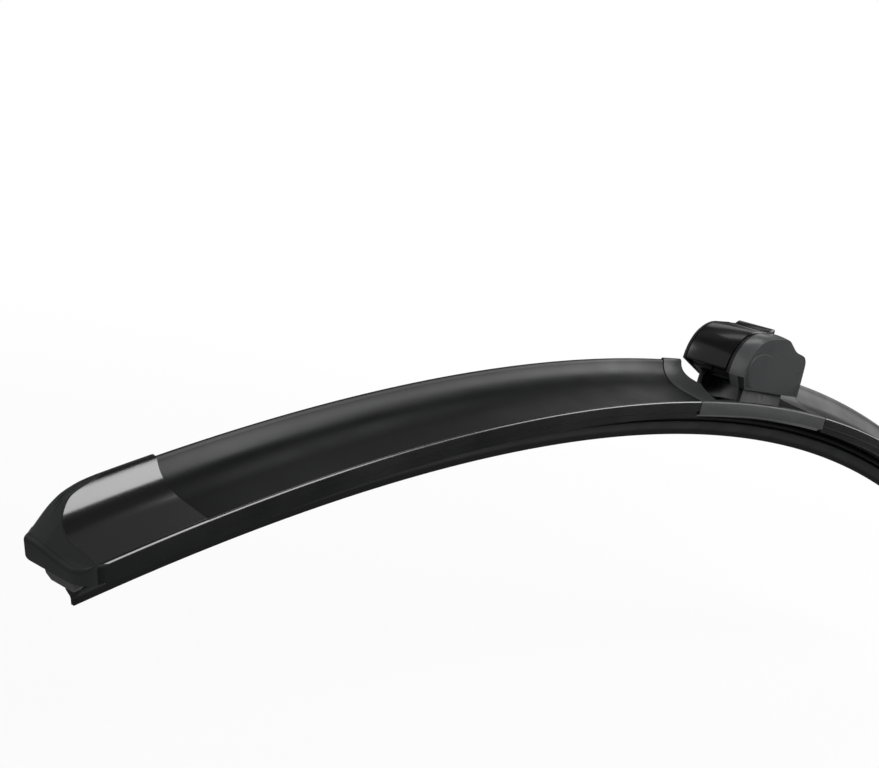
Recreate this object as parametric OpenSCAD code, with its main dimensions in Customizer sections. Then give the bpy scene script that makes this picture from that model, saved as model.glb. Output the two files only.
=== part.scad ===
// Flat beam wiper blade with spoiler, end caps and a rocking arm adaptor, in millimetres.
// The origin is on the axis of the pivot pin, X runs along the blade, Z points away from the glass.
// Sections are drawn with x across the blade, positive towards -Y, and y as the height over the rail line.

/* [Blade] */
// Length of each half, along the arc from the middle of the housing
half_length = 223; // [200:1:300]
// Radius of the bow at the rail line
arc_radius = 600; // [500:10:1200]
// Width over the two side walls of the spoiler
blade_width = 18.5; // [17.5:0.5:20]
// Height of the crest over the rail line
crest_height = 10; // [9:0.25:12]
// Sideways place of the crest, towards the rear side of the blade
crest_shift = 4.1; // [3.6:0.1:4.4]
// Height of the front edge over the rail line
front_edge_height = 2.1; // [1.8:0.1:2.5]
// Height of the shelf where the hollow flank flattens out
shelf_height = 3.6; // [3.3:0.1:4.2]

/* [Steel rails and rubber] */
// Width of plastic left beside each spring rail
rail_cover = 1.09; // [1:0.05:1.3]
// Thickness of one spring rail
rail_thickness = 0.8; // [0.7:0.05:0.9]
// Half the width of the groove core that the two rails clamp between them
rubber_core = 1.8; // [1.5:0.1:2]
// Half the width of the two beads over and under the rails
rubber_bead = 2.9; // [2.6:0.1:3]
// Half the width of the cover flange over the wiping wedge
flange_half_width = 3.3; // [3:0.1:3.6]
// Half the width of the wedge at its shoulder
wedge_half_width = 2.6; // [2.2:0.1:3]
// Thickness of the tilting neck over the wedge
neck_thickness = 1.2; // [1:0.1:1.6]
// Thickness of the wiping lip at its edge
lip_thickness = 0.8; // [0.6:0.1:1]
// Depth of the lip edge under the rail line
lip_depth = 8.6; // [8:0.1:10]

/* [End caps] */
// Visible length of an end cap
cap_length = 25.8; // [24:0.2:30]
// How far a cap stands proud of the spoiler
cap_proud = 0.45; // [0.3:0.05:0.6]
// Length of spoiler that slides into a cap
cap_overlap = 8; // [6:0.5:9]
// Radius of the nose's front corner, seen from above
nose_corner = 4.2; // [3:0.1:5]
// Radius of the nose's rear corner, seen from above
nose_corner_rear = 5; // [4:0.25:6]
// Length over which the nose slopes down from the crest
nose_slope = 12.4; // [11:0.2:14]
// Height of the toe's top over the rail line
toe_height = 2.1; // [1.8:0.1:2.4]
// Width of the stop block under the nose
stop_width = 8; // [7:0.25:9]
// Depth of the stop block under the rail line
stop_depth = 4.4; // [4:0.1:5]

/* [Housing] */
// Half the length of the centre housing
housing_half = 37.3; // [36:0.1:42]
// Half the length of the open pocket at the front wall
pocket_half = 28.5; // [27:0.1:30]
// How much shorter the pocket is at the rear wall, at each end
pocket_taper = 12; // [9:0.5:13]
// Height of the low walls beside the pocket
rim_height = 3.1; // [2.8:0.1:3.4]
// Radius of the hollow swoop from a wing down to the deck
swoop_radius = 6.4; // [5.5:0.1:7]
// Wall thickness of mouldings
wall = 1.3; // [1.1:0.05:1.5]

/* [Carrier and pivot] */
// Height of the pivot axis over the rail line
pivot_height = 8.2; // [8:0.1:9]
// Gap between the housing and a spoiler half
seam = 0.3; // [0.1:0.05:0.4]
// Offset of the pivot axis from the middle of the housing, towards the visible cap
pivot_offset = 5.5; // [5:0.1:6.5]
// Thickness of the carrier sheet
sheet = 1.3; // [1.1:0.05:1.5]
// Distance over the two carrier ears
ears_width = 13.6; // [13.2:0.1:13.8]
// Length of an ear at its foot
ear_length = 23; // [22:0.25:24]
// Radius of an ear round the pivot pin
ear_radius = 5; // [4.6:0.1:5.2]
// Radius of the pivot pin
pin_radius = 1.6; // [1.4:0.1:1.8]
// Radius of the bush on the pivot pin
bush_radius = 2.6; // [2.5:0.1:2.8]
// Length of the carrier plate
plate_length = 50; // [48:0.5:52]
// Radius of a rail rivet shank
rivet_radius = 0.7; // [0.6:0.05:0.8]

/* [Adaptor] */
// Radius of the round nose of the barrel
barrel_radius = 10.85; // [10.6:0.05:11]
// Radius of the flatter arc over the top of the barrel
barrel_top_radius = 15.04; // [14.6:0.02:15.4]
// Distance from the pivot axis to the foremost line of the barrel
barrel_reach = 13.7; // [13.6:0.05:13.9]
// Distance from the middle of the blade to the face of the front cheek
front_side = 8.75; // [8.6:0.05:8.9]
// Distance from the middle of the blade to the face of the rear cheek
rear_side = 9.5; // [9.3:0.05:9.6]
// Distance from the middle of the blade to the front edge of the gloss cover
cover_front = 3.4; // [3.2:0.05:3.6]
// Thickness of the thin rear collar beside the gloss cover
rear_collar = 0.75; // [0.65:0.05:0.9]
// Width of the sunk band between the gloss cover and the front collar
band_width = 1; // [0.8:0.05:1.2]
// Depth of the sunk band
band_depth = 0.3; // [0.2:0.05:0.4]
// How far the front collar falls towards the face of the front cheek
collar_fall = 0.8; // [0.6:0.1:1]
// Radius of the faint round boss on the front cheek
boss_radius = 7; // [6:0.25:8]
// Length of the adaptor behind the pivot axis
adaptor_rear = 21.4; // [21:0.1:22]
// Depth of the adaptor under the pivot axis
adaptor_drop = 2.4; // [2.2:0.1:2.6]
// Thickness of the gloss cover
cover_thickness = 1.3; // [1.1:0.05:1.5]
// Distance from the pivot axis to the free end of the gloss cover
cover_end = 8.2; // [7.8:0.1:8.4]
// Height of the finger ridge over the barrel
ridge_rise = 1.3; // [1:0.1:1.5]
// Width of the arm socket
socket_width = 8; // [7:0.25:8.2]
// Height of the arm socket
socket_height = 6; // [5:0.25:6.2]
// Depth of the arm socket from its mouth
socket_depth = 16; // [14:0.5:16.5]
// Running clearance of pivot and hinge, on the radius
running_clearance = 0.06; // [0.03:0.01:0.09]
// Clearance between fitted pieces
fit_gap = 0.08; // [0.05:0.01:0.1]
// Clearance beside pieces that move past each other
side_gap = 0.32; // [0.3:0.01:0.36]

/* [Hidden] */
half_width = blade_width / 2;
rail_width = half_width - rubber_core - 2 * fit_gap - rail_cover;
degree_per_mm = 180 / (PI * arc_radius);
rail_inner = rubber_core + fit_gap;
rail_outer = rail_inner + rail_width;
rail_top = -0.45;
rail_bottom = rail_top - rail_thickness;
slot_top = rail_top + fit_gap;
slot_bottom = rail_bottom - fit_gap;
slot_outer = rail_outer + fit_gap;
hook_bottom = slot_bottom - 0.5;
hook_tip = rail_outer - 2.2;
step_in = 0.45;
skirt_depth = 1;
bead_top = 0.15;
bead_room = bead_top + fit_gap;
bead_bottom = rail_bottom - fit_gap - 0.65;
flange_top = bead_bottom - 0.95;
flange_bottom = flange_top - 0.9;
wedge_top = flange_bottom - 0.6;
wedge_shoulder = wedge_top - 0.4;
cap_start = half_length - cap_length;
spoiler_end = cap_start + cap_overlap;
nose_front = half_length - 0.5;
rail_end = half_length - 9;
rubber_end = half_length - 4.6;
stop_front = half_length - 1.9;
stop_back = rubber_end + fit_gap;
nose_bottom = 0.6;
nose_turn = 40.4;
collar_face = cover_front + side_gap;
band_end = collar_face + band_width;
cover_rear = rear_side - rear_collar - side_gap;
rear_face = rear_side - rear_collar;
shoulder_turn = 35.8;
top_turn = 4.2;
blend = 0.01;
nose_centre = [barrel_radius - barrel_reach, 0.9];
shoulder = nose_centre + barrel_radius * [-sin(shoulder_turn), cos(shoulder_turn)];
top_centre = shoulder - barrel_top_radius * [-sin(shoulder_turn), cos(shoulder_turn)];
top_start = top_centre + barrel_top_radius * [-sin(top_turn), cos(top_turn)];
ear_outer = ears_width / 2;
ear_inner = ear_outer - sheet;
core_half = ear_inner - side_gap;
slot_face = ear_outer + side_gap;
rear_start = adaptor_rear - 15.8;
plate_top = slot_top + sheet;
plate_width = 2 * (slot_outer - 0.35);
rivet_along = plate_length / 2 - 4;
rivet_across = rail_inner + rail_width / 2 - 0.35;
hinge_at = [-9.4, 2.7];
hinge_pin = 0.8;
knuckle = 1.9;
knuckle_half = 2.6;
pin_half = 5.8;
socket_floor = 0.6;
foot_front = 4 - ear_length / 2;
foot_rear = foot_front + ear_length;
ear_shoulder = -2.4;

// A quadratic curve from a to c that leaves a and reaches c along the lines through b
function curve(a, b, c, n) = [
    for (i = [0:n]) let (t = i / n) (1 - t) * (1 - t) * a + 2 * t * (1 - t) * b + t * t * c];

// The upper outline of the spoiler, from the front wall over the crest to the rear wall
function upper_outline(g) = concat(
    curve([half_width + g, front_edge_height - 0.6], [half_width + g, front_edge_height + 0.25 + g / 2],
          [half_width - 1.1, front_edge_height + 0.5 + g], 5),
    curve([3, shelf_height + g], [0.8 - crest_shift + g, shelf_height + 1.15 + g],
          [-crest_shift + g, crest_height - 0.5], 12),
    curve([-crest_shift + g, crest_height - 0.5 + g], [-crest_shift - 0.45, crest_height + 0.6 + g],
          [-crest_shift - 0.95 - g, crest_height - 0.5 + g], 4),
    curve([-crest_shift - 1 - g, crest_height - 0.7 + g], [-crest_shift - 2.1 - g, shelf_height + 0.7 + g],
          [-half_width + 0.35 - g, front_edge_height + 0.2 + g], 8),
    [[-half_width - g, front_edge_height - 0.3]]);

// The hooks under the rails, mirrored for each side by the sign
function hook_side(sgn, g, outer) = [
    [sgn * (half_width + g), -outer],
    [sgn * (half_width + g - step_in), -outer - (outer > 0 ? 0.05 : 0.3)],
    [sgn * (outer > 0 ? slot_outer - 0.6 : half_width - step_in), hook_bottom],
    [sgn * hook_tip, hook_bottom],
    [sgn * hook_tip, slot_bottom],
    [sgn * slot_outer, slot_bottom],
    [sgn * slot_outer, slot_top],
    [sgn * (rubber_bead + fit_gap), slot_top],
    [sgn * (rubber_bead + fit_gap), bead_room]];

// The full section of a hooked piece: spoiler, cap or housing
module hooked_section(g, outer) {
    polygon(concat(
        upper_outline(g),
        hook_side(-1, g, outer),
        [for (i = [8:-1:0]) hook_side(1, g, outer)[i]]));
}

// The hollow core inside the spoiler and the caps
module chamber_section() {
    polygon(concat(
        [[half_width - wall, slot_top + wall]],
        curve([half_width - wall - 0.2, front_edge_height - 0.8], [half_width - 2, front_edge_height - 0.4],
              [2.6, shelf_height - wall], 4),
        curve([2.2, shelf_height - wall + 0.1], [1.2 - crest_shift, shelf_height - 0.4],
              [0.15 - crest_shift, crest_height - 3.6], 8),
        [[-0.25 - crest_shift, crest_height - 3.4]],
        curve([-0.65 - crest_shift, crest_height - 3.8], [-1.3 - crest_shift, shelf_height],
              [-half_width + wall + 0.3, front_edge_height - 0.2], 6),
        [[-half_width + wall, slot_top + wall]]));
}

// Sweeps a section along the bow between two arc lengths from the middle of the housing
module sweep(from, to) {
    translate([pivot_offset, 0, -pivot_height - arc_radius])
        rotate([0, to * degree_per_mm - 90, 0])
            rotate([90, 0, 0])
                rotate_extrude(angle = (to - from) * degree_per_mm, $fn = 720)
                    translate([arc_radius, 0])
                        mirror([1, -1])
                            children();
}

// Puts a piece at an arc length, upright to the bow
module along(s) {
    translate([pivot_offset, 0, -pivot_height - arc_radius])
        rotate([0, s * degree_per_mm, 0])
            translate([0, 0, arc_radius])
                children();
}

// Draws a profile in the X-Z plane with its y upwards, through the given width
module upright(width) {
    rotate([90, 0, 0])
        linear_extrude(height = width, center = true)
            children();
}

// The elastomer strip with its two rail grooves, cover flange, tilting neck and wedge
module wiper_rubber() {
    color([0.07, 0.07, 0.07])
        sweep(-rubber_end, rubber_end)
            polygon(concat(
                rubber_side(1),
                [for (i = [len(rubber_side(-1)) - 1:-1:0]) rubber_side(-1)[i]]));
}

function rubber_side(sgn) = [
    [sgn * (rubber_bead - 0.3), bead_top],
    [sgn * rubber_bead, bead_top - 0.3],
    [sgn * rubber_bead, rail_top + fit_gap / 2],
    [sgn * rubber_core, rail_top + fit_gap / 2],
    [sgn * rubber_core, rail_bottom - fit_gap / 2],
    [sgn * rubber_bead, rail_bottom - fit_gap / 2],
    [sgn * rubber_bead, bead_bottom + 0.2],
    [sgn * (rubber_bead - 0.5), bead_bottom],
    [sgn * 1.1, bead_bottom],
    [sgn * 1.1, flange_top],
    [sgn * (flange_half_width - 0.3), flange_top],
    [sgn * flange_half_width, flange_top - 0.3],
    [sgn * flange_half_width, flange_bottom],
    [sgn * neck_thickness / 2, flange_bottom],
    [sgn * neck_thickness / 2, wedge_top],
    [sgn * (wedge_half_width - 0.25), wedge_top],
    [sgn * wedge_half_width, wedge_top - 0.25],
    [sgn * wedge_half_width, wedge_shoulder],
    [sgn * (wedge_half_width * 0.5 + lip_thickness / 4), (wedge_shoulder - lip_depth) / 2 + 0.35],
    [sgn * (lip_thickness / 2 + 0.18), -lip_depth + 1.5],
    [sgn * lip_thickness / 2, -lip_depth + 1.1],
    [sgn * lip_thickness / 2, -lip_depth]];

// One spring rail, placed on the front or rear side
module rail(sgn) {
    color([0.55, 0.56, 0.58])
        sweep(-rail_end, rail_end)
            translate([sgn * (rail_inner + rail_outer) / 2, (rail_top + rail_bottom) / 2])
                square([rail_width, rail_thickness], center = true);
}

module rail_front() {
    difference() {
        rail(1);
        rivet_holes(1);
    }
}

module rail_rear() {
    difference() {
        rail(-1);
        rivet_holes(-1);
    }
}

module rivet_holes(sgn) {
    for (s = [-rivet_along, rivet_along])
        along(s)
            translate([0, -sgn * rivet_across, -4])
                cylinder(h = 6, r = rivet_radius + fit_gap / 2, $fn = 32);
}

// An extruded spoiler half with its hollow core and rail hooks
module spoiler(from, to) {
    color([0.13, 0.13, 0.13])
        sweep(from, to)
            difference() {
                hooked_section(0, 0);
                chamber_section();
            }
}

module spoiler_left() {
    spoiler(-spoiler_end, -housing_half - seam);
}

module spoiler_right() {
    spoiler(housing_half + seam, spoiler_end);
}

// The end cap in the frame of its front end: it slides over spoiler, rails and rubber
module end_cap(sgn) {
    color([0.16, 0.16, 0.16])
        difference() {
            intersection() {
                span(sgn, cap_start, half_length + 0.6)
                    hooked_section(cap_proud, skirt_depth);
                nose_form(sgn);
                nose_plan(sgn);
            }
            span(sgn, cap_start - 1, spoiler_end + fit_gap)
                spoiler_room();
            span(sgn, spoiler_end - 1, rail_end)
                chamber_section();
            stop_peg(sgn, fit_gap);
        }
    color([0.16, 0.16, 0.16])
        nose_fill(sgn);
}

// The solid end of the nose that closes the rail slots and the rubber's room
module nose_fill(sgn) {
    fill_inner = rubber_bead + 2 * fit_gap;
    fill_height = (bead_room + 0.4 - skirt_depth) / 2;
    fill_tall = bead_room + skirt_depth + 0.4;
    intersection() {
        union() {
            span(sgn, rail_end + 0.6, half_length)
                for (side = [-1, 1])
                    translate([side * (slot_outer + 0.3 + fill_inner) / 2, fill_height])
                        square([slot_outer + 0.3 - fill_inner, fill_tall], center = true);
            difference() {
                span(sgn, stop_back, half_length)
                    translate([0, fill_height])
                        square([2 * slot_outer, fill_tall], center = true);
                stop_peg(sgn, fit_gap);
            }
        }
        nose_form(sgn);
        nose_plan(sgn);
    }
}

// Sweeps towards the cap on the side of the sign
module span(sgn, from, to) {
    if (sgn > 0)
        sweep(from, to)
            children();
    else
        sweep(-to, -from)
            children();
}

module spoiler_room() {
    polygon(concat(
        upper_outline(fit_gap),
        [[-half_width - fit_gap, -skirt_depth - 1], [half_width + fit_gap, -skirt_depth - 1]]));
}

// The form of the nose: a crowned slope that falls from the crest to an upright toe
module nose_form(sgn) {
    difference() {
        union() {
            intersection() {
                nose_crest(sgn);
                nose_crown(sgn);
            }
            toe_block(sgn);
        }
        along(sgn * half_length)
            translate([sgn * (stop_back - half_length - 0.15), -20, -20])
                mirror([sgn < 0 ? 1 : 0, 0, 0])
                    cube([20, 40, 20 - nose_bottom]);
    }
}

// The line that rounds the slope off towards the crest
module nose_crest(sgn) {
    top = crest_height + cap_proud;
    along(sgn * half_length)
        upright(50)
            scale([sgn, 1])
                polygon([[-60, -12], [4, -12], [4, 5.2], [5 - nose_slope, top - 1.7],
                         [-nose_slope, top + 0.05], [-60, top + 16]]);
}

// The slope, crowned across the blade and falling off more on the rear side
module nose_crown(sgn) {
    crown = concat(
        curve([10.5, -1.45], [3.5, -0.57], [-1.8, 0.19], 7),
        curve([-2.4, 0.19], [-4.4, 0.15], [-6.36, -1.12], 5),
        [[-10.5, -2.7], [-10.5, -22], [10.5, -22]]);
    along(sgn * half_length)
        translate([-sgn * 0.5, 0, toe_height - 0.1])
            rotate([0, sgn * (90 + nose_turn), 0])
                translate([0, 0, -40])
                    linear_extrude(height = 60)
                        polygon([for (q = crown) [-sgn * q[1], -q[0]]]);
}

// The upright toe with its softened ridge
module toe_block(sgn) {
    along(sgn * half_length)
        upright(44)
            scale([sgn, 1])
                polygon([[-15, -11], [3, -11], [3, toe_height - 0.9], [-0.4, toe_height - 0.9],
                         [-0.65, toe_height - 0.35], [-1.2, toe_height], [-15, toe_height]]);
}

// The plan view of the nose with its two rounded corners
module nose_plan(sgn) {
    length = cap_length + 12;
    side = half_width + cap_proud + 0.03;
    along(sgn * nose_front)
        translate([0, 0, -20])
            linear_extrude(height = 50)
                scale([sgn, 1])
                    union() {
                        translate([-length, -side - 2])
                            square([length - nose_corner_rear, 2 * side + 4]);
                        translate([-length, -side - 2])
                            square([length - nose_corner, side + 2]);
                        translate([-length, nose_corner - side])
                            square([length, 2 * side - nose_corner - nose_corner_rear]);
                        translate([-nose_corner, nose_corner - side])
                            circle(r = nose_corner, $fn = 64);
                        translate([-nose_corner_rear, side - nose_corner_rear])
                            circle(r = nose_corner_rear, $fn = 64);
                    }
}

module end_cap_left() {
    end_cap(-1);
}

module end_cap_right() {
    end_cap(1);
}

// The block that stops the rubber, with the peg that holds it in the nose
module rubber_stop(sgn) {
    color([0.3, 0.3, 0.31])
        union() {
            intersection() {
                span(sgn, stop_back, stop_front)
                    polygon([[-stop_width / 2, -nose_bottom - fit_gap],
                             [stop_width / 2, -nose_bottom - fit_gap],
                             [stop_width / 2, -stop_depth + 1], [stop_width / 2 - 1, -stop_depth],
                             [1 - stop_width / 2, -stop_depth], [-stop_width / 2, -stop_depth + 1]]);
                along(sgn * stop_front)
                    upright(40)
                        scale([sgn, 1])
                            polygon([[0.3, 2], [-1.3, -stop_depth - 1], [-8, -stop_depth - 1], [-8, 2]]);
            }
            stop_peg(sgn, 0);
        }
}

module stop_peg(sgn, gap) {
    span(sgn, stop_back - gap, stop_front - 1 + gap)
        translate([0, -0.6])
            square([3.6 + 2 * gap, 2.2 + 2 * gap], center = true);
}

module rubber_stop_left() {
    rubber_stop(-1);
}

module rubber_stop_right() {
    rubber_stop(1);
}

// The centre housing: two wings that swoop down to a deck with an open pocket
module housing() {
    color([0.2, 0.2, 0.2])
        difference() {
            sweep(-housing_half, housing_half)
                hooked_section(0, skirt_depth);
            swoop_cut();
            pocket_cut();
            sweep(-plate_length / 2 - fit_gap, plate_length / 2 + fit_gap)
                translate([0, (slot_top - 0.2 + plate_top + fit_gap) / 2])
                    square([plate_width + 2 * fit_gap, plate_top - slot_top + fit_gap + 0.2],
                           center = true);
            rivet_room();
        }
}

// The side view of what is taken away between the two wings
module swoop_cut() {
    top = crest_height + 8;
    start = pocket_half + 0.4;
    deck = start - swoop_radius - 2;
    flank = concat(
        [[-start - 1, top], [-start - 0.6, crest_height + 0.3]],
        curve([-start - 0.6, crest_height + 0.1], [-start, crest_height - 0.1],
              [-start, crest_height - 0.9], 3),
        curve([-start + 0.05, crest_height - 1.8], [-start + 0.4, rim_height + 1.9],
              [-deck, rim_height + 1], 8),
        [[-deck + 7, rim_height]]);
    translate([pivot_offset, 0, -pivot_height])
        upright(60)
            polygon(concat(flank, [for (i = [len(flank) - 1:-1:0]) [-flank[i][0], flank[i][1]]]));
}

// The plan view of the pocket: wide at the front wall and narrower at the rear wall
module pocket_cut() {
    inside = half_width - wall + 0.05;
    translate([pivot_offset, 0, -pivot_height + slot_top - 1.4])
        linear_extrude(height = 30)
            polygon([[-pocket_half, -inside], [pocket_half, -inside],
                     [pocket_half - pocket_taper, inside], [pocket_taper - pocket_half, inside]]);
}

// Room for the upper and lower heads of the rail rivets
module rivet_room() {
    for (s = [-rivet_along, rivet_along])
        for (side = [-1, 1])
            along(s)
                translate([0, side * rivet_across, -3])
                    cylinder(h = 3 + plate_top + 1, r = 1.5, $fn = 32);
}

// The sheet carrier: a bowed plate on the rails with two upright ears for the pivot pin
module carrier() {
    color([0.1, 0.1, 0.1])
        difference() {
            union() {
                sweep(-plate_length / 2, plate_length / 2)
                    difference() {
                        translate([0, (slot_top + plate_top) / 2])
                            square([plate_width, sheet], center = true);
                        translate([0, bead_room - 2])
                            square([2 * (rubber_bead + fit_gap), 4], center = true);
                    }
                for (side = [-1, 1])
                    translate([0, side * (ear_outer - sheet / 2), 0])
                        upright(sheet)
                            ear_profile();
            }
            rotate([90, 0, 0])
                cylinder(h = ears_width + 2, r = pin_radius + fit_gap / 2, center = true, $fn = 48);
            for (side = [-1, 1])
                rivet_holes(side);
        }
}

// The point where a line from p meets the rim of radius r just inside its left or right tangent
function touch(p, r, sgn) = let (a = atan2(p[1], p[0]) + sgn * acos(r / norm(p))) [r * cos(a), r * sin(a)];

module ear_profile() {
    foot = plate_top - pivot_height - 0.5;
    union() {
        circle(r = ear_radius, $fn = 64);
        polygon([[foot_front, foot], [foot_front, ear_shoulder],
                 touch([foot_front, ear_shoulder], 0.96 * ear_radius, -1),
                 touch([foot_rear, ear_shoulder], 0.96 * ear_radius, 1),
                 [foot_rear, ear_shoulder], [foot_rear, foot]]);
    }
}

// Four rivets that hold the carrier plate on the two rails
module rail_rivets() {
    color([0.5, 0.5, 0.52])
        for (s = [-rivet_along, rivet_along])
            for (side = [-1, 1])
                along(s)
                    translate([0, side * rivet_across, 0])
                        rivet();
}

module rivet() {
    rotate_extrude($fn = 48)
        polygon([[0, rail_bottom - 0.42], [0.7, rail_bottom - 0.42], [1.05, rail_bottom - 0.25],
                 [1.15, rail_bottom - 0.02], [rivet_radius, rail_bottom - 0.02],
                 [rivet_radius, plate_top + 0.02], [1.25, plate_top + 0.02],
                 [1.1, plate_top + 0.35], [0.75, plate_top + 0.5], [0, plate_top + 0.52]]);
}

module pivot_pin() {
    color([0.7, 0.7, 0.72])
        rotate([90, 0, 0])
            cylinder(h = ears_width, r = pin_radius, center = true, $fn = 48);
}

module pivot_bush() {
    color([0.75, 0.75, 0.72])
        rotate([90, 0, 0])
            difference() {
                cylinder(h = 2 * (ear_inner - fit_gap), r = bush_radius, center = true, $fn = 48);
                cylinder(h = ears_width, r = pin_radius + fit_gap / 2, center = true, $fn = 48);
            }
}

// The side view of the barrel, let in by d: a round nose, a flatter arc and a nearly level top
module barrel(d, back) {
    union() {
        translate(nose_centre)
            circle(r = barrel_radius - d, $fn = 96);
        intersection() {
            translate(top_centre)
                circle(r = barrel_top_radius - d - blend, $fn = 128);
            polygon([top_centre, top_centre + 40 * [-sin(shoulder_turn), cos(shoulder_turn)],
                     top_centre + 40 * [-sin(top_turn - 12), cos(top_turn - 12)]]);
        }
        polygon([nose_centre + [-1.5, -0.5], top_centre, top_line(top_start[0], d), top_line(back, d),
                 [back, -adaptor_drop], [back, -12], [-1, -12]]);
    }
}

// A point on the nearly level top of the barrel, let in by d
function top_line(x, d) = let (rise = (x - top_start[0]) * tan(top_turn))
    [x, top_start[1] + rise - d / cos(top_turn) - 2 * blend];

// The side view of the adaptor behind the barrel, let in by d
module rear_profile(d) {
    polygon(concat(
        [[0, -adaptor_drop], [adaptor_rear, -adaptor_drop], [adaptor_rear - 0.3, 4]],
        curve([adaptor_rear - 0.5, 6.6], [adaptor_rear - 0.9, 9.2 - d],
              [adaptor_rear - 3.4, 9.6 - d], 6),
        curve([adaptor_rear - 6.6, 9.95 - d], [adaptor_rear - 8.6, 10.3 - d],
              [adaptor_rear - 10.4, 11.3 - d], 5),
        curve([adaptor_rear - 12.2, 12.2 - d], [adaptor_rear - 13.4, 12.9 - d],
              top_line(rear_start, d), 5),
        [[0, 5]]));
}

// What the slanted underside of the nose takes away: steep at the front cheek, flat behind it
module nose_under(reach, foot) {
    polygon([[-30, reach], [-barrel_reach + 0.02, reach], [-foot, -adaptor_drop], [40, -adaptor_drop],
             [40, -30], [-30, -30]]);
}

// A slab of the adaptor between two places across, with y = -across
module slab(from, to) {
    translate([0, (from + to) / 2, 0])
        upright(abs(to - from))
            children();
}

// The adaptor moulding: two cheeks, the drum under the cover, ear slots, pivot saddle and arm socket
module adaptor_body() {
    color([0.22, 0.22, 0.22])
        difference() {
            union() {
                slab(-front_side, -front_side + 0.4 * collar_fall)
                    cheek_profile(0.7 * collar_fall, 0.6, 10.8);
                slab(-front_side + 0.4 * collar_fall, -front_side + collar_fall)
                    cheek_profile(0.4 * collar_fall, 0.6, 10.8);
                slab(-front_side + collar_fall, -front_side + 2 * collar_fall)
                    cheek_profile(0.15 * collar_fall, 0.6, 10.8);
                slab(-front_side + 2 * collar_fall, -band_end)
                    cheek_profile(0, 0.6, 10.8);
                slab(-band_end, -collar_face)
                    cheek_profile(band_depth, 0.8, 9);
                slab(rear_face, rear_side)
                    cheek_profile(0, 1.2, 2.5);
                slab(-collar_face, rear_face)
                    drum_profile();
            }
            ear_slot(-slot_face, -core_half);
            ear_slot(core_half, slot_face);
            pivot_saddle();
            slab(-socket_width / 2, socket_width / 2)
                socket_profile();
            slab(-socket_width / 2 - 0.5, socket_width / 2 + 0.5)
                polygon([[-5, -6], [-5, 2], [-7.8, -0.4], [-7.8, -6]]);
            cover_room();
            boss_groove();
        }
}

module cheek_profile(d, reach, foot) {
    difference() {
        union() {
            barrel(d, rear_start);
            rear_profile(d);
        }
        nose_under(reach, foot);
    }
}

module drum_profile() {
    difference() {
        union() {
            barrel(cover_thickness + side_gap, cover_end + side_gap);
            difference() {
                rear_profile(0);
                translate([-40, -40])
                    square([40 + cover_end + side_gap, 80]);
            }
        }
        nose_under(1.2, 2.5);
    }
}

// The slot in which a carrier ear rocks
module ear_slot(from, to) {
    slab(from, to)
        union() {
            circle(r = ear_radius + 0.5, $fn = 64);
            polygon([[foot_front - 1.4, -12], [foot_front - 1.4, -0.9], [-ear_radius - 0.3, 2.6],
                     [2.6, ear_radius + 0.4], [foot_rear + 0.9, 0.7], [foot_rear + 0.9, -12]]);
        }
}

// The saddle that snaps over the bush from above
module pivot_saddle() {
    slab(-core_half - 0.1, core_half + 0.1)
        union() {
            circle(r = bush_radius + running_clearance, $fn = 64);
            translate([-bush_radius * 0.8, -6])
                square([bush_radius * 1.6, 6]);
        }
}

// The arm socket with its mouth at the rear and the well under the cover
module socket_profile() {
    well = adaptor_rear - socket_depth + 0.1;
    union() {
        translate([adaptor_rear - socket_depth, socket_floor])
            square([socket_depth + 2, socket_height]);
        polygon([[-6.6, 5.2], [well, 5.2], [well, 20], [-6.6, 20]]);
    }
}

// Room for the cover's hinge knuckle, its web and its lower edge as it opens
module cover_room() {
    slab(-knuckle_half - side_gap, knuckle_half + side_gap)
        translate(hinge_at)
            union() {
                circle(r = knuckle + side_gap, $fn = 48);
                polygon([[side_gap + 0.3, 0], [side_gap + 0.3, 2.3], [-1.1, 4.7],
                         [-8, 6], [-8, -8], [2, -5]]);
            }
    slab(-collar_face, rear_face)
        translate(hinge_at)
            difference() {
                polygon([[0, 0], [-8, 1.5], [-8, -8], [1.6, -8]]);
                circle(r = knuckle, $fn = 48);
            }
    translate([hinge_at[0], 0, hinge_at[1]])
        rotate([90, 0, 0])
            cylinder(h = 2 * pin_half + 0.1, r = hinge_pin + fit_gap / 2, center = true, $fn = 32);
}

// The faint ring that sets off the round boss on the front cheek
module boss_groove() {
    rotate([90, 0, 0])
        translate([0, 0, front_side - 0.12])
            difference() {
                cylinder(h = 1, r = boss_radius + 0.18, $fn = 96);
                cylinder(h = 3, r = boss_radius - 0.18, center = true, $fn = 96);
                translate([-20, -20, -1])
                    cube([40, 21, 4]);
            }
}

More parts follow.
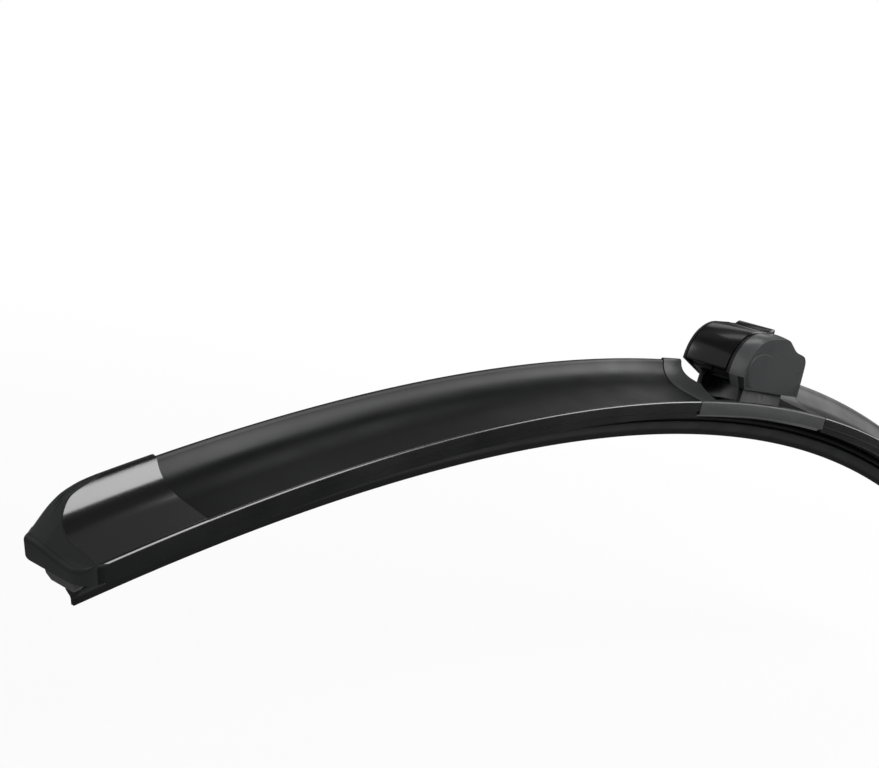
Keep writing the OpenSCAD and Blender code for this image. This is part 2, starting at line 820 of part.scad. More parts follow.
// The gloss cover: a bent shell on a hinge in the nose, with a finger ridge at its free end
module lock_cover() {
    ridge_foot = top_line(cover_end, 0)[1];
    ridge_top = ridge_foot + ridge_rise;
    color([0.05, 0.05, 0.05])
        difference() {
            union() {
                slab(-cover_front, cover_rear)
                    intersection() {
                        difference() {
                            barrel(0, cover_end);
                            barrel(cover_thickness, cover_end + 1);
                        }
                        polygon([[cover_end, 0], [cover_end, 20], [-20, 20],
                                 [-20, 1.3], [-12, 1.3], [0, 4]]);
                    }
                slab(-cover_front, 7)
                    polygon([[cover_end - 2.4, ridge_foot - 0.5],
                             [cover_end - 1.9, ridge_top - 0.8], [cover_end - 1.6, ridge_top - 0.2],
                             [cover_end - 1.2, ridge_top], [cover_end - 0.5, ridge_top - 0.1],
                             [cover_end, ridge_top - 0.5], [cover_end, ridge_foot - 1.2],
                             [cover_end - 1, ridge_foot - 1.2]]);
                slab(-cover_front + side_gap, socket_width / 2 - side_gap)
                    polygon([[2.4, 12.4], [2.4, 9.6], [3.4, 8.9], [3.9, 9.6], [3.9, 12.4]]);
                slab(-knuckle_half, knuckle_half)
                    union() {
                        translate(hinge_at)
                            circle(r = knuckle, $fn = 48);
                        polygon([hinge_at, hinge_at + [0, 1.8], [-11.2, 6.2], [-12.6, 3.6]]);
                    }
            }
            translate([hinge_at[0], 0, hinge_at[1]])
                rotate([90, 0, 0])
                    cylinder(h = 20, r = hinge_pin + running_clearance, center = true, $fn = 32);
        }
}

module cover_pin() {
    color([0.6, 0.6, 0.62])
        translate([hinge_at[0], 0, hinge_at[1]])
            rotate([90, 0, 0])
                cylinder(h = 2 * pin_half, r = hinge_pin, center = true, $fn = 32);
}

wiper_rubber();
rail_front();
rail_rear();
spoiler_left();
spoiler_right();
end_cap_left();
end_cap_right();
rubber_stop_left();
rubber_stop_right();
housing();
carrier();
rail_rivets();
pivot_pin();
pivot_bush();
adaptor_body();
lock_cover();
cover_pin();
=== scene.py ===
# %% [markdown]
# # A bowed beam wiper blade, dressed for its photograph
# A beam wiper blade is a long extruded spoiler clipped round two bowed spring rails, with a
# moulded cap at each end, a housing in the middle and a small adaptor for the wiper arm.
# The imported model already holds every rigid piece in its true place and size. This lesson
# loads it, sets the camera of the photograph, rebuilds the pieces that show with finer
# curves and softened edges, and gives each one its finish.

# %% Load the frame
import math

import bmesh
import bpy
from mathutils import Matrix, Vector


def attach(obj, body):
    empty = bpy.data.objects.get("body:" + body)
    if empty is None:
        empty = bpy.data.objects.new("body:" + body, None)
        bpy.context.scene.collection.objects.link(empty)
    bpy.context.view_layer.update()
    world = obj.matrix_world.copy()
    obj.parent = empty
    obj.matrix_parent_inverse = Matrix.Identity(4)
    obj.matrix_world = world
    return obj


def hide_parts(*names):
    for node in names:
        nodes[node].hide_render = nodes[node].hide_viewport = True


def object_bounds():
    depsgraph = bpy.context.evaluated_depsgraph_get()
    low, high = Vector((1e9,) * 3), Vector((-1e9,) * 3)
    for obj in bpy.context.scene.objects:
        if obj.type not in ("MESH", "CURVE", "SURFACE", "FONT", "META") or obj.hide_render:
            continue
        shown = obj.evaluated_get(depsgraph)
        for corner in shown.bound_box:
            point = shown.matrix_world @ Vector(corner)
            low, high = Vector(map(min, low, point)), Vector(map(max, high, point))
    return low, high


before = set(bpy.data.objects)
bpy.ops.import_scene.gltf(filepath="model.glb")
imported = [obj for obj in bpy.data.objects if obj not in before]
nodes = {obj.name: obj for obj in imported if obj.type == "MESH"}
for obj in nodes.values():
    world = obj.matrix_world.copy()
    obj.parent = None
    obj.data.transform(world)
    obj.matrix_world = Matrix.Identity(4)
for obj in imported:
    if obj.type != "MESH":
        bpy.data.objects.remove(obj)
cad_box = [list(corner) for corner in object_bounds()]
MM = 0.001
print("nodes:", len(nodes))
print("box in mm:", [[round(v / MM, 1) for v in corner] for corner in cad_box])

# %% [markdown]
# ## The camera
# The photograph was solved for its camera: a lens of about 61 mm held some 25 cm from the
# near end, turned 52 degrees along the blade, looking 6 degrees down and rolled by
# 14.6 degrees. A camera's rotation can be typed as three angles, but writing it as three
# axes (right, up and back) keeps the sums easy to check.

# %% Place the camera
YAW, PITCH, ROLL = 0.9165892, -0.1048148, 0.2551127
FOCAL_PIXELS, IMAGE_WIDTH, SENSOR = 1496.08, 879, 36
CAMERA_AT = Vector((-0.363393, -0.182822, 0.019579))

forward = Vector((math.sin(YAW) * math.cos(PITCH), math.cos(YAW) * math.cos(PITCH),
                  math.sin(PITCH)))
level = Vector((math.cos(YAW), -math.sin(YAW), 0))
above = level.cross(forward)
right = level * math.cos(ROLL) + above * math.sin(ROLL)
up = above * math.cos(ROLL) - level * math.sin(ROLL)


def placed(name, data):
    made = bpy.data.objects.new(name, data)
    bpy.context.scene.collection.objects.link(made)
    return made


camera = placed("camera", bpy.data.cameras.new("camera"))
turned = Matrix((right, up, -forward)).transposed().to_4x4()
camera.matrix_world = Matrix.Translation(CAMERA_AT) @ turned
camera.data.sensor_width = SENSOR
camera.data.lens = FOCAL_PIXELS / IMAGE_WIDTH * SENSOR
camera.data.clip_start = 0.01
bpy.context.scene.camera = camera
print("lens in mm:", round(camera.data.lens, 2))

# %% [markdown]
# ## A ruler that follows the bow
# The blade is one arc of 600 mm radius. Every long piece is easiest to draw as a flat
# section, with u across the blade (towards the viewer) and w over the rail line, and then
# to carry that section along the arc by its length s from the middle of the housing.
# Cross sections are drawn from short quadratic curves, because three points say where a
# moulding starts, where it bends and where it ends.

# %% Bow and section helpers
BOW, PIVOT_ALONG, PIVOT_OVER = 600, 5.5, 8.2
LEAST_STEP = 0.004


def blade_point(s, u, w):
    turn = s / BOW
    return Vector((PIVOT_ALONG + (BOW + w) * math.sin(turn), -u,
                   (BOW + w) * math.cos(turn) - BOW - PIVOT_OVER)) * MM


def bend(a, b, c, steps):
    ring = []
    for i in range(steps + 1):
        t = i / steps
        k, m, n = (1 - t) ** 2, 2 * t * (1 - t), t * t
        ring.append((k * a[0] + m * b[0] + n * c[0], k * a[1] + m * b[1] + n * c[1]))
    return ring


def clean_ring(ring):
    kept = []
    for point in ring:
        if not kept or math.dist(point, kept[-1]) > LEAST_STEP:
            kept.append(point)
    if math.dist(kept[0], kept[-1]) <= LEAST_STEP:
        kept.pop()
    return kept


print("tip of the blade in mm:", [round(v / MM, 1) for v in blade_point(-223, 0, 0)])

# %% [markdown]
# ## From faces to a finished piece
# A mesh made in code needs four things before it can be shown: its normals must point
# outwards, its broad curves must be shaded smooth while true corners stay crisp, real
# mouldings need a small radius on their corners so that light catches it, and it must ride
# on a body of the model. A few short helpers do this for every piece. Each cut is counted
# for open edges at once, because a boolean that fails leaves a hole and no message.

# %% Piece helpers
MERGE = 0.002


def new_piece(name, points, faces, materials=(), second=()):
    mesh = bpy.data.meshes.new(name)
    mesh.from_pydata([tuple(p) for p in points], [], faces)
    for material in materials:
        mesh.materials.append(material)
    for index in second:
        mesh.polygons[index].material_index = 1
    bm = bmesh.new()
    bm.from_mesh(mesh)
    bmesh.ops.dissolve_degenerate(bm, dist=MERGE * MM, edges=bm.edges)
    bmesh.ops.recalc_face_normals(bm, faces=bm.faces)
    bm.to_mesh(mesh)
    bm.free()
    return placed(name, mesh)


def baked(piece):
    bpy.context.view_layer.update()
    graph = bpy.context.evaluated_depsgraph_get()
    mesh = bpy.data.meshes.new_from_object(piece.evaluated_get(graph))
    piece.modifiers.clear()
    piece.data = mesh
    mesh.name = piece.name
    return piece


def check_closed(piece):
    bm = bmesh.new()
    bm.from_mesh(piece.data)
    loose = sum(1 for edge in bm.edges if len(edge.link_faces) != 2)
    print(piece.name, "volume mm3", round(bm.calc_volume() / MM ** 3, 1), "open edges", loose)
    bm.free()


def carve(piece, tool, operation="DIFFERENCE"):
    cut = piece.modifiers.new("cut", "BOOLEAN")
    cut.operation, cut.solver, cut.object = operation, "MANIFOLD", tool
    baked(piece)
    bpy.data.objects.remove(tool)
    check_closed(piece)
    return piece


def soften(piece, radius, angle=32):
    edge = piece.modifiers.new("edge", "BEVEL")
    edge.width, edge.segments = radius * MM, 2
    edge.limit_method, edge.angle_limit = "ANGLE", math.radians(angle)
    edge.use_clamp_overlap = True
    edge.miter_outer = "MITER_ARC"
    return baked(piece)


def flat_merge(piece, degrees=0.6):
    bm = bmesh.new()
    bm.from_mesh(piece.data)
    bmesh.ops.remove_doubles(bm, verts=bm.verts, dist=2 * MERGE * MM)
    bmesh.ops.dissolve_limit(bm, angle_limit=math.radians(degrees),
                             verts=bm.verts, edges=bm.edges)
    bm.to_mesh(piece.data)
    bm.free()
    return piece


def finish(piece, body, materials, replaces, crease=28):
    piece.data.materials.clear()
    for material in materials:
        piece.data.materials.append(material)
    for polygon in piece.data.polygons:
        polygon.use_smooth = True
    piece.data.set_sharp_from_angle(angle=math.radians(crease))
    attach(piece, body)
    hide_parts(*replaces)
    low = [min(v.co[i] for v in piece.data.vertices) / MM for i in range(3)]
    high = [max(v.co[i] for v in piece.data.vertices) / MM for i in range(3)]
    print(piece.name, "faces", len(piece.data.polygons), "box",
          [round(v, 1) for v in low], [round(v, 1) for v in high])


# %% [markdown]
# Every solid is a stack of equal rings joined by quads. A sweep lays its rings along the
# bow; an upright prism stands across the blade and needs only two. What is the same on both
# sides is built once and mirrored.

# %% Sweep and prism
STEP = 2.0


def ring_solid(name, rings):
    count = len(rings[0])
    points = [p for ring in rings for p in ring]
    faces = []
    for k in range(len(rings) - 1):
        for j in range(count):
            a, b = k * count + j, k * count + (j + 1) % count
            faces.append((a, b, b + count, a + count))
    faces.append(tuple(range(count)))
    faces.append(tuple(range((len(rings) - 1) * count, len(rings) * count)))
    return new_piece(name, points, faces)


def sweep(name, outline, start, stop, step=STEP):
    ring = clean_ring(outline)
    rows = max(1, round((stop - start) / step))
    places = [start + (stop - start) * i / rows for i in range(rows + 1)]
    piece = ring_solid(name, [[blade_point(s, u, w) for u, w in ring] for s in places])
    bm = bmesh.new()
    bm.from_mesh(piece.data)
    bmesh.ops.triangulate(bm, faces=[f for f in bm.faces if len(f.verts) > 4])
    bmesh.ops.recalc_face_normals(bm, faces=bm.faces)
    bm.to_mesh(piece.data)
    bm.free()
    return piece


def upright(name, outline, near, far):
    ring = clean_ring(outline)
    return ring_solid(name, [[Vector((x, -u, z)) * MM for x, z in ring] for u in (near, far)])


def mirrored(piece, name):
    mesh = piece.data.copy()
    middle = PIVOT_ALONG * MM
    for vertex in mesh.vertices:
        vertex.co.x = 2 * middle - vertex.co.x
    mesh.flip_normals()
    return placed(name, mesh)


print("step along the bow in mm:", STEP)

# %% [markdown]
# ## Finishes
# Everything on the blade is nearly black, so the finishes differ by their gloss and grain
# rather than by their colour. Each one is a Principled shader with a fine noise bump for
# the grain, a slow noise that varies the gloss, and a slight speckle of the colour. The
# noises are laid in object space, so they stay put in every view. The blade in the
# photograph is new, so no wear is painted on its corners.

# %% A grained plastic
SPECKLE, SLOW_SCALE = 0.1, 60


def map_range(tree, value, span, result):
    node = tree.nodes.new("ShaderNodeMapRange")
    for socket, limit in zip(("From Min", "From Max", "To Min", "To Max"), (*span, *result)):
        node.inputs[socket].default_value = limit
    tree.links.new(value, node.inputs["Value"])
    return node.outputs["Result"]


def grained(name, colour, gloss, grain, scale, drift=0.06, metal=0.0, coat=0.0,
            coat_gloss=0.1, specular=0.5, stretch=(1, 1, 1)):
    """A Principled plastic or metal; the grain's height is in mm, its scale that of the noise."""
    material = bpy.data.materials.new(name)
    material.use_nodes = True
    tree = material.node_tree
    shader = tree.nodes["Principled BSDF"]
    for socket, value in (("Metallic", metal), ("Specular IOR Level", specular),
                          ("Coat Weight", coat), ("Coat Roughness", coat_gloss)):
        shader.inputs[socket].default_value = value
    place = tree.nodes.new("ShaderNodeTexCoord")
    mapping = tree.nodes.new("ShaderNodeMapping")
    mapping.inputs["Scale"].default_value = stretch
    tree.links.new(place.outputs["Object"], mapping.inputs["Vector"])

    def noise(size, detail):
        node = tree.nodes.new("ShaderNodeTexNoise")
        for socket, value in (("Scale", size), ("Detail", detail), ("Roughness", 0.55)):
            node.inputs[socket].default_value = value
        tree.links.new(mapping.outputs["Vector"], node.inputs["Vector"])
        return node.outputs["Fac"]

    fine, slow = noise(scale, 2), noise(SLOW_SCALE, 3)
    bump = tree.nodes.new("ShaderNodeBump")
    bump.inputs["Strength"].default_value = 1.0
    bump.inputs["Distance"].default_value = grain * MM
    tree.links.new(fine, bump.inputs["Height"])
    tree.links.new(bump.outputs["Normal"], shader.inputs["Normal"])
    rough = map_range(tree, slow, (0.3, 0.7), (max(0.02, gloss - drift), gloss + drift))
    tree.links.new(rough, shader.inputs["Roughness"])

    tone = tree.nodes.new("ShaderNodeMix")
    tone.data_type = "RGBA"
    tone.inputs["A"].default_value = (*[c * (1 - SPECKLE) for c in colour], 1)
    tone.inputs["B"].default_value = (*[c * (1 + SPECKLE) for c in colour], 1)
    tree.links.new(fine, tone.inputs["Factor"])
    tree.links.new(tone.outputs["Result"], shader.inputs["Base Color"])
    return material


satin_spoiler = grained("satin_spoiler", (0.0048, 0.0052, 0.0052), 0.36, 0.004, 5200, specular=0.31)
matt_nose = grained("matt_nose", (0.016, 0.017, 0.018), 0.55, 0.006, 4200, specular=0.28)
gloss_saddle = grained("gloss_saddle", (0.006, 0.006, 0.006), 0.20, 0.002, 6500, drift=0.02,
                       specular=1.0, coat=0.6, coat_gloss=0.14)
satin_housing = grained("satin_housing", (0.036, 0.037, 0.037), 0.42, 0.005, 4200)
matt_adaptor = grained("matt_adaptor", (0.017, 0.018, 0.019), 0.42, 0.006, 4200, specular=0.4)
# The collar's glossier finish; its light base colour is a painted sheen.
collar_gloss_painted_sheen = grained("collar_gloss_painted_sheen", (0.082, 0.084, 0.086), 0.32, 0.003, 5200,
                        specular=1.0, coat=0.6, coat_gloss=0.24)
gloss_cover = grained("gloss_cover", (0.008, 0.008, 0.008), 0.20, 0.001, 5200, drift=0.03)
# The front edge's finish: glossier than the spoiler, and a lighter colour that is painted
# highlight.
edge_gloss_painted_highlight = grained("edge_gloss_painted_highlight", (0.010, 0.010, 0.010), 0.24, 0.002, 5200, drift=0.02,
                        specular=1.0, coat=0.5)
rubber = grained("rubber", (0.0045, 0.005, 0.005), 0.55, 0.006, 3600, specular=0.15)
grey_stop = grained("grey_stop", (0.030, 0.031, 0.031), 0.55, 0.006, 4200, specular=0.3)
painted_sheet = grained("painted_sheet", (0.009, 0.009, 0.009), 0.38, 0.004, 2600, specular=0.35)
spring_steel = grained("spring_steel", (0.34, 0.34, 0.35), 0.30, 0.002, 900, metal=1.0,
                       stretch=(0.05, 1, 1))
zinc = grained("zinc", (0.52, 0.53, 0.55), 0.33, 0.003, 1500, metal=1.0)
bush_plastic = grained("bush_plastic", (0.55, 0.54, 0.50), 0.45, 0.004, 3000)
print("finishes:", len(bpy.data.materials))

# %% [markdown]
# ## The spoiler
# The spoiler is extruded in two halves: a front wall, a rounded edge, a flat shelf, a
# hollow flank that sweeps up to a narrow crest, and a steeper rear flank. Under it, hooks
# grip the two spring rails. A swept section gives exactly what an extruder gives. The
# right half is the left one mirrored about the middle of the housing.

# %% Section of spoiler, caps and housing
HALF_WIDTH, CREST, WING_CREST, CREST_SHIFT = 9.25, 9.64, 10.05, 4.1
FRONT_EDGE, SHELF = 2.1, 3.6
SLOT_TOP, SLOT_BOTTOM, SLOT_OUTER = -0.37, -1.33, 8.16
HOOK_BOTTOM, HOOK_TIP, STEP_IN = -1.83, 5.88, 0.45
BEAD_ROOM_SIDE, BEAD_ROOM_TOP = 2.98, 0.23
FIT = 0.08


def upper_outline(proud=0.0, crest=CREST):
    """Edge, shelf and flank, the round crest and the rear flank, by a distance proud."""
    g = proud
    return (bend((HALF_WIDTH + g, FRONT_EDGE - 0.1 + g / 2), (HALF_WIDTH + g, FRONT_EDGE + 0.3 + g),
                 (HALF_WIDTH - 0.35, FRONT_EDGE + 0.36 + g), 10)
            + bend((3, SHELF + g), (0.8 - CREST_SHIFT + g, SHELF + 1.15 + g),
                   (-CREST_SHIFT + g, crest - 0.5 + g), 40)
            + bend((-CREST_SHIFT + g, crest - 0.5 + g), (-CREST_SHIFT - 0.45, crest + 0.6 + g),
                   (-CREST_SHIFT - 0.95 - g, crest - 0.5 + g), 10)
            + bend((-CREST_SHIFT - 1 - g, crest - 0.7 + g),
                   (-CREST_SHIFT - 2.1 - g, SHELF + 0.7 + g),
                   (-HALF_WIDTH + 0.35 - g, FRONT_EDGE + 0.2 + g), 24)
            + [(-HALF_WIDTH - g, FRONT_EDGE - 0.3)])


def hook_side(side, proud, skirt):
    """One hook round its rail: down the outside, in under the rail, and up to the bead."""
    lower = -skirt - (0.05 if skirt > 0 else 0.3)
    heel = SLOT_OUTER - 0.6 if skirt > 0 else HALF_WIDTH - STEP_IN
    half = [(HALF_WIDTH + proud, -skirt), (HALF_WIDTH + proud - STEP_IN, lower),
            (heel, HOOK_BOTTOM), (HOOK_TIP, HOOK_BOTTOM), (HOOK_TIP, SLOT_BOTTOM),
            (SLOT_OUTER, SLOT_BOTTOM), (SLOT_OUTER, SLOT_TOP), (BEAD_ROOM_SIDE, SLOT_TOP),
            (BEAD_ROOM_SIDE, BEAD_ROOM_TOP)]
    return [(side * u, w) for u, w in half]


def hooked_section(proud, skirt, crest=CREST):
    return (upper_outline(proud, crest) + hook_side(-1, proud, skirt)
            + hook_side(1, proud, skirt)[::-1])


print("section points:", len(hooked_section(0, 0)))

# %% [markdown]
# The photograph shows a fine light line along the front edge of the spoiler, where the
# extrusion is smoother. A second material on the few faces of that edge draws it and follows
# the bow by itself: it is glossier, and its colour, a little lighter than the spoiler's, is a
# painted highlight.

# %% Spoiler halves
HALF_LENGTH, CAP_LENGTH, CAP_OVERLAP, CAP_PROUD = 223, 25.8, 8, 0.45
HOUSING_HALF, SEAM, EDGE_BAND = 37.3, 0.3, 0.4
CAP_START = HALF_LENGTH - CAP_LENGTH

spoiler_left = sweep("spoiler_left_skin", hooked_section(0, 0), -CAP_START - CAP_OVERLAP,
                     -HOUSING_HALF - SEAM - FIT)
spoiler_right = mirrored(spoiler_left, "spoiler_right_skin")
finish(spoiler_left, "blade", [satin_spoiler, edge_gloss_painted_highlight], ["spoiler_left"])
finish(spoiler_right, "blade", [satin_spoiler, edge_gloss_painted_highlight], ["spoiler_right"])


def over_rail(point):
    return math.hypot(point.x / MM - PIVOT_ALONG, point.z / MM + BOW + PIVOT_OVER) - BOW


# The edge faces take the second finish, whose lighter colour paints the highlight line.
for piece in (spoiler_left, spoiler_right):
    edge = [p for p in piece.data.polygons if -p.center.y / MM > HALF_WIDTH - EDGE_BAND
            and over_rail(p.center) > FRONT_EDGE - 0.1]
    for polygon in edge:
        polygon.material_index = 1
    print(piece.name, "edge faces", len(edge))

# %% [markdown]
# ## The end cap
# The cap is a sleeve with a polished saddle, and a matt nose that slopes down to an upright
# toe. The line where the two meet is the strongest line of the photograph, so the mesh is
# laid out along it: columns run lengthwise at the section's own points, and each column
# changes from saddle to nose at exactly the place where the two surfaces cross. That gives
# a clean edge for two materials, which a boolean would leave ragged.

# %% The nose as a height over the blade
TOE, TOE_FRONT, NOSE_TURN = 2.05, 0.66, math.radians(40.4)
CORNER_NEAR, CORNER_FAR = 4.2, 5.0
SIDE = HALF_WIDTH + CAP_PROUD
CROWN = (bend((10.5, 1.9), (3.5, 0.75), (-1.8, -0.25), 24)
         + bend((-1.8, -0.25), (-4.6, -0.6), (-6.1, -0.57), 12)
         + bend((-6.1, -0.57), (-6.5, -0.4), (-7.29, 0.58), 6) + [(-8.94, 2.58), (-10.5, 4.4)])
CREST_FALL = (bend((0, 4), (6.0, 7.9), (8.3, 8.75), 16)
              + bend((8.3, 8.75), (11, 9.75), (16, CREST + 0.45), 16))


def read_line(line, x):
    """Height of an open line at x; the line runs either way."""
    for (x0, y0), (x1, y1) in zip(line, line[1:]):
        if min(x0, x1) <= x <= max(x0, x1):
            return y0 + (y1 - y0) * (x - x0) / (x1 - x0) if x1 != x0 else y0
    return line[0][1] if abs(x - line[0][0]) < abs(x - line[-1][0]) else line[-1][1]


def soft_max(a, b, k):
    """The larger of two heights, with the corner between them rounded over k."""
    h = max(0.0, min(1.0, 0.5 + (a - b) / (2 * k)))
    return b + (a - b) * h + k * h * (1 - h)


def nose_height(back, u):
    """Height at a distance back from the tip: a slope under the crest line, over the toe."""
    slope = TOE - 0.1 + math.tan(NOSE_TURN) * (back - 0.5) - read_line(CROWN, u)
    slope = -soft_max(-slope, -read_line(CREST_FALL, back), 0.4)
    toe = TOE - 0.3 * max(0.0, min(1.0, (-u - 5) / 4))
    return soft_max(slope, toe, 0.45)


def nose_front(u):
    """Distance back from the tip of the rounded front, at a place across."""
    for side, radius in ((1, CORNER_NEAR), (-1, CORNER_FAR)):
        beyond = side * u - (SIDE - radius)
        if beyond > 0:
            return TOE_FRONT + radius - math.sqrt(max(0.0, radius ** 2 - min(beyond, radius) ** 2))
    return TOE_FRONT


print("nose height at 4 mm back:", [round(nose_height(4, u), 2) for u in (-8, -4, 0, 4, 8)])

# %% [markdown]
# Each column needs the place where saddle and nose cross. There is no formula for it, so
# the code halves an interval until the two heights agree. A groove a tenth of a millimetre
# deep runs along the crossing, as in the photograph, and draws it as a dark line.

# %% Columns of the cap
LONGEST_STEP = 0.4


def divided(ring):
    """The same open line with no step longer than LONGEST_STEP."""
    line = [ring[0]]
    for a, b in zip(ring, ring[1:]):
        parts = max(1, math.ceil(math.dist(a, b) / LONGEST_STEP))
        line += [(a[0] + (b[0] - a[0]) * i / parts, a[1] + (b[1] - a[1]) * i / parts)
                 for i in range(1, parts + 1)]
    return line


saddle_line = divided(clean_ring(upper_outline(CAP_PROUD)))
SADDLE_ROWS, NOSE_ROWS, EDGE_ROWS, EDGE_ROUND = 34, 22, 8, 1.0
GROOVE_WIDE, GROOVE_DEEP = 0.16, 0.12


def crease_at(u, w):
    """How far back from the tip the saddle meets the nose, for one point of the section."""
    ahead = nose_front(u) + EDGE_ROUND
    if nose_height(ahead, u) >= w:
        return ahead
    low, high = ahead, CAP_LENGTH - 1
    for _ in range(40):
        middle = (low + high) / 2
        if nose_height(middle, u) < w:
            low = middle
        else:
            high = middle
    return high


def cap_column(u, w):
    """Distances back and heights down one column: saddle, nose and the nose's edge."""
    crease, front = crease_at(u, w), nose_front(u)
    edge = front + EDGE_ROUND
    deep = GROOVE_DEEP if crease > edge + 3 * GROOVE_WIDE else 0.0
    wide = GROOVE_WIDE if deep else 0.0
    column = [(CAP_LENGTH + (crease + wide - CAP_LENGTH) * i / SADDLE_ROWS, w)
              for i in range(SADDLE_ROWS + 1)]
    column.append((crease, w - deep))
    for i in range(NOSE_ROWS + 1):
        back = crease - wide + (edge - crease + wide) * i / NOSE_ROWS
        column.append((back, min(w, nose_height(back, u))))
    top = column[-1][1]
    for i in range(1, EDGE_ROWS + 1):
        turn = math.pi / 2 * i / EDGE_ROWS
        column.append((edge - EDGE_ROUND * math.sin(turn), top - EDGE_ROUND * (1 - math.cos(turn))))
    return column


columns = [(u, cap_column(u, w)) for u, w in saddle_line]
ROWS = len(columns[0][1])
print("cap columns", len(columns), "rows", ROWS)

# %% [markdown]
# The columns become the top of a closed block, and the same grid, pressed flat, is its
# underside. The material of each face is known from its row, and only the low front wall
# is found by its direction.

# %% Skin of the cap
SKIRT, NOSE_BOTTOM, NOTCH = 1.0, 0.6, 4.67
WALL_TOP, WALL_FACING = 2.4, 0.93


def floor_height(back):
    return -NOSE_BOTTOM if back < NOTCH else -SKIRT


CAP_FINISHES = [gloss_saddle, matt_nose, satin_spoiler]


def cap_block(name):
    points, faces, nose_faces = [], [], set()
    count = len(columns)
    for u, column in columns:
        points += [blade_point(back - HALF_LENGTH, u, w) for back, w in column]
    for u, column in columns:
        points += [blade_point(back - HALF_LENGTH, u, floor_height(back)) for back, w in column]
    lower = count * ROWS
    for j in range(count - 1):
        for i in range(ROWS - 1):
            a, b = j * ROWS + i, (j + 1) * ROWS + i
            if i >= SADDLE_ROWS:
                nose_faces.add(len(faces))
            faces.append((a, a + 1, b + 1, b))
            faces.append((lower + a, lower + b, lower + b + 1, lower + a + 1))
    border = (list(range(ROWS)) + [j * ROWS + ROWS - 1 for j in range(1, count)]
              + [(count - 1) * ROWS + i for i in range(ROWS - 2, -1, -1)]
              + [j * ROWS for j in range(count - 2, 0, -1)])
    for a, b in zip(border, border[1:] + border[:1]):
        if a % ROWS >= SADDLE_ROWS and b % ROWS >= SADDLE_ROWS:
            nose_faces.add(len(faces))
        faces.append((a, b, lower + b, lower + a))
    piece = new_piece(name, points, faces, CAP_FINISHES, nose_faces)
    for polygon in piece.data.polygons:
        if over_rail(polygon.center) < WALL_TOP and abs(polygon.normal.y) > WALL_FACING:
            polygon.material_index = 2
    return piece


cap_left = cap_block("end_cap_left_skin")
print("cap faces:", len(cap_left.data.polygons))

# %% [markdown]
# The sleeve is hollow where the spoiler slides in, and open below for the rails and the
# rubber. These rooms are cut with booleans whose tools are swept along the same bow, a hair
# larger than what slides in.

# %% Rooms in the cap
RAIL_END, RUBBER_END, BELOW = 214.0, 218.4, -3


def block(half, bottom, top):
    return [(half, bottom), (half, top), (-half, top), (-half, bottom)]


inner_end = -CAP_START - CAP_OVERLAP
sleeve = upper_outline(FIT) + [(-HALF_WIDTH - FIT, BELOW), (HALF_WIDTH + FIT, BELOW)]
carve(cap_left, sweep("sleeve_room", sleeve, inner_end - FIT, -CAP_START + 1))
bead = BEAD_ROOM_SIDE + FIT
rails = [(SLOT_OUTER, BELOW), (SLOT_OUTER, SLOT_TOP), (bead, SLOT_TOP), (bead, BEAD_ROOM_TOP),
         (-bead, BEAD_ROOM_TOP), (-bead, SLOT_TOP), (-SLOT_OUTER, SLOT_TOP), (-SLOT_OUTER, BELOW)]
carve(cap_left, sweep("rail_room", rails, -RAIL_END - 0.6, inner_end + 0.5))
channel = block(bead, BELOW, BEAD_ROOM_TOP)
carve(cap_left, sweep("rubber_room", channel, -RUBBER_END - FIT, -RAIL_END + 0.4))
cap_right = mirrored(cap_left, "end_cap_right_skin")


def finish_cap(piece, replaced):
    indices = [p.material_index for p in piece.data.polygons]
    finish(piece, "blade", CAP_FINISHES, [replaced])
    for polygon, index in zip(piece.data.polygons, indices):
        polygon.material_index = index


finish_cap(cap_left, "end_cap_left")
finish_cap(cap_right, "end_cap_right")

# %% [markdown]
# ## Rubber and stop blocks
# The rubber is one extruded strip: beads that clamp round the rails, a cover flange, a thin
# neck that lets the wedge tilt, and the wiping lip. Its corners are round in life, so the
# swept section gets a small bevel. The grey block under each nose stops the strip from
# creeping out.

# %% Rubber strip
bead_half = [(2.6, 0.15), (2.9, -0.15), (2.9, -0.41), (1.8, -0.41), (1.8, -1.29), (2.9, -1.29),
             (2.9, -1.78), (2.4, -1.98), (1.1, -1.98), (1.1, -2.93)]
flange_half = [(3.0, -2.93), (3.3, -3.23), (3.3, -3.83), (0.6, -3.83), (0.6, -4.43)]
wedge_half = [(2.35, -4.43), (2.6, -4.68), (2.6, -4.83), (1.5, -6.365), (0.58, -7.1), (0.4, -7.5),
              (0.4, -8.6)]
near_half = bead_half + flange_half + wedge_half
far_half = [(-u, w) for u, w in near_half[::-1]]
rubber_strip = sweep("wiper_rubber_skin", near_half + far_half, -RUBBER_END, RUBBER_END, 3.0)
soften(rubber_strip, 0.09, 30)
finish(rubber_strip, "blade", [rubber], ["wiper_rubber"], crease=40)

# %% [markdown]
# The stop blocks are right as they were packed, but for their sharp corners. A copy of the
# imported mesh, with its flat faces merged first, takes the bevel cleanly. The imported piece
# itself is never changed.

# %% Stop blocks with softened corners
def softened_copy(name, node, radius, angle=32):
    return soften(flat_merge(placed(name, nodes[node].data.copy())), radius, angle)


for side in ("left", "right"):
    stop = softened_copy(f"rubber_stop_{side}_skin", f"rubber_stop_{side}", 0.12)
    finish(stop, "blade", [grey_stop], [f"rubber_stop_{side}"])

# %% [markdown]
# ## The housing
# The housing joins the two spoiler halves: a wing at each end carries on the spoiler's own
# section, swoops down to a low deck, and leaves a leaf-shaped pocket for the carrier's ears.
# It is cut from the same swept section, so wing and spoiler line up at the seam.

# %% Housing
POCKET_HALF, POCKET_TAPER, WALL, RIM, SWOOP = 28.5, 12, 1.3, 3.1, 6.4
PLATE_HALF, PLATE_TOP, PLATE_SIDE = 25.08, 0.93, 7.81
SEAM_FROM = 35

